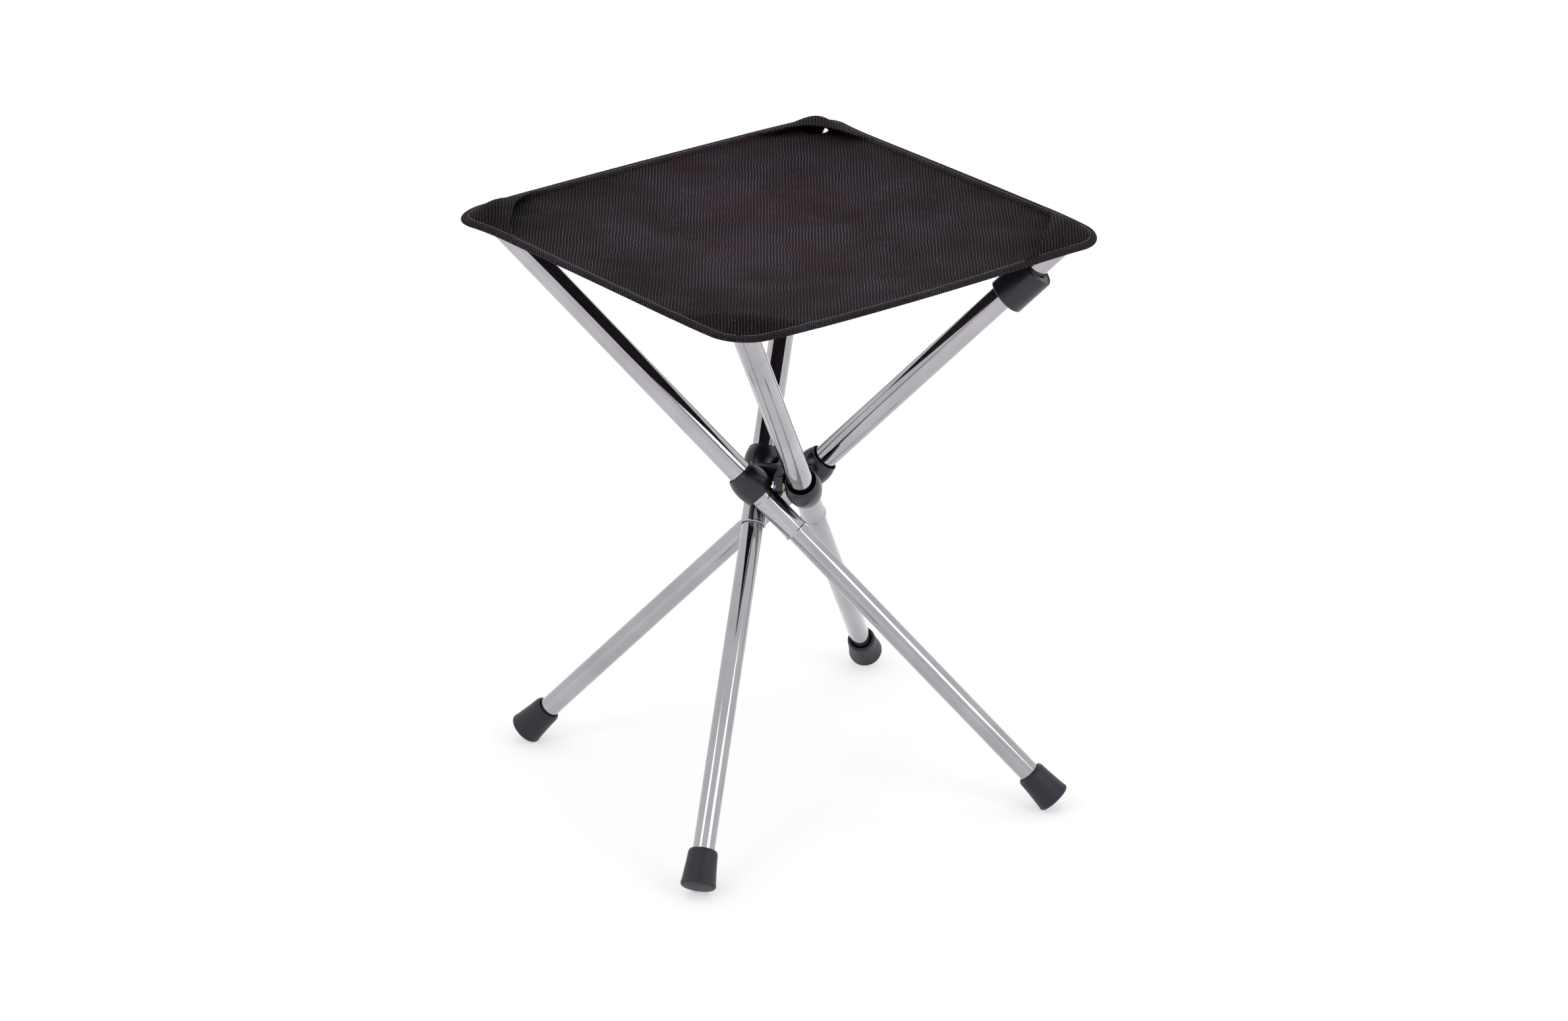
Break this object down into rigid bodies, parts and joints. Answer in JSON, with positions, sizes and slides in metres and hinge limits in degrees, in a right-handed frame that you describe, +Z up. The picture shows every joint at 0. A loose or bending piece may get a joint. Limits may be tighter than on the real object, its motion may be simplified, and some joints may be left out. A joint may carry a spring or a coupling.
{
  "type": "camping stool",
  "caption": "Folding camp stool with crossed telescopic steel legs on a pivot hub, black rubber feet and a sagging square cloth seat with corner pockets.",
  "frame": {"origin": "on the ground under the middle of the hub", "axes": "+Z up; the hub pins lie along X and Y; the front leg's top leans to -Y and the right leg's top to +X"},
  "size_m": [0.477, 0.477, 0.4725],
  "materials": {
    "polished_steel": "polished",
    "plain_steel": "bright drawn",
    "satin_black": "satin black",
    "foot_rubber": "matte",
    "washer_brass": "polished",
    "plug_nylon": "matte",
    "spring_steel": "plain",
    "ribbed_cloth": "ribbed weave",
    "binding_tape": "woven tape"
  },
  "bodies": {
    "hub": {"hub_core": "satin_black", "pivot_pin_front": "polished_steel", "pivot_pin_right": "polished_steel", "pivot_pin_back": "polished_steel", "pivot_pin_left": "polished_steel", "pivot_washer_front": "washer_brass", "pivot_washer_right": "washer_brass", "pivot_washer_back": "washer_brass", "pivot_washer_left": "washer_brass", "seat_cloth": "ribbed_cloth", "edge_binding_front_right": "binding_tape", "edge_binding_back_right": "binding_tape", "edge_binding_back_left": "binding_tape", "edge_binding_front_left": "binding_tape"},
    "leg_front": {"collar_front": "satin_black", "upper_tube_front": "polished_steel", "top_plug_front": "plug_nylon", "friction_bush_front": "spring_steel", "corner_pocket_front": "ribbed_cloth"},
    "leg_right": {"collar_right": "satin_black", "upper_tube_right": "polished_steel", "top_plug_right": "plug_nylon", "friction_bush_right": "spring_steel", "corner_pocket_right": "ribbed_cloth"},
    "leg_back": {"collar_back": "satin_black", "upper_tube_back": "polished_steel", "top_plug_back": "plug_nylon", "friction_bush_back": "spring_steel", "corner_pocket_back": "ribbed_cloth"},
    "leg_left": {"collar_left": "satin_black", "upper_tube_left": "polished_steel", "top_plug_left": "plug_nylon", "friction_bush_left": "spring_steel", "corner_pocket_left": "ribbed_cloth"},
    "lower_front": {"lower_tube_front": "plain_steel", "slide_plug_front": "plug_nylon", "foot_front": "foot_rubber"},
    "lower_right": {"lower_tube_right": "plain_steel", "slide_plug_right": "plug_nylon", "foot_right": "foot_rubber"},
    "lower_back": {"lower_tube_back": "plain_steel", "slide_plug_back": "plug_nylon", "foot_back": "foot_rubber"},
    "lower_left": {"lower_tube_left": "plain_steel", "slide_plug_left": "plug_nylon", "foot_left": "foot_rubber"},
    "clip": {"storage_clip": "satin_black"}
  },
  "joints": [
    {"name": "fold_front", "type": "hinge", "parent": "hub", "child": "leg_front", "pos_m": [0.0205, -0.0205, 0.25374], "axis": [-1, 0, 0], "range_deg": [0, 44], "deforming": ["seat_cloth", "edge_binding_front_right", "edge_binding_back_right", "edge_binding_back_left", "edge_binding_front_left", "corner_pocket_front"]},
    {"name": "fold_right", "type": "hinge", "parent": "hub", "child": "leg_right", "pos_m": [0.0205, 0.0205, 0.25374], "axis": [0, -1, 0], "range_deg": [0, 44], "deforming": ["corner_pocket_right"]},
    {"name": "fold_back", "type": "hinge", "parent": "hub", "child": "leg_back", "pos_m": [-0.0205, 0.0205, 0.25374], "axis": [1, 0, 0], "range_deg": [0, 44], "deforming": ["corner_pocket_back"]},
    {"name": "fold_left", "type": "hinge", "parent": "hub", "child": "leg_left", "pos_m": [-0.0205, -0.0205, 0.25374], "axis": [0, 1, 0], "range_deg": [0, 44], "deforming": ["corner_pocket_left"]},
    {"name": "slide_front", "type": "slide", "parent": "leg_front", "child": "lower_front", "axis": [0, -0.6947, 0.7193], "range_m": [0, 0.26]},
    {"name": "slide_right", "type": "slide", "parent": "leg_right", "child": "lower_right", "axis": [0.6947, 0, 0.7193], "range_m": [0, 0.26]},
    {"name": "slide_back", "type": "slide", "parent": "leg_back", "child": "lower_back", "axis": [0, 0.6947, 0.7193], "range_m": [0, 0.26]},
    {"name": "slide_left", "type": "slide", "parent": "leg_left", "child": "lower_left", "axis": [-0.6947, 0, 0.7193], "range_m": [0, 0.26]},
    {"name": "clip_turn", "type": "hinge", "parent": "leg_right", "child": "clip", "pos_m": [0.17892, 0.0205, 0.41779], "axis": [0.6947, 0, 0.7193], "continuous": true}
  ],
  "couplings": [
    {"joint": "fold_right", "follows": "fold_front", "ratio": 1},
    {"joint": "fold_back", "follows": "fold_front", "ratio": 1},
    {"joint": "fold_left", "follows": "fold_front", "ratio": 1}
  ]
}
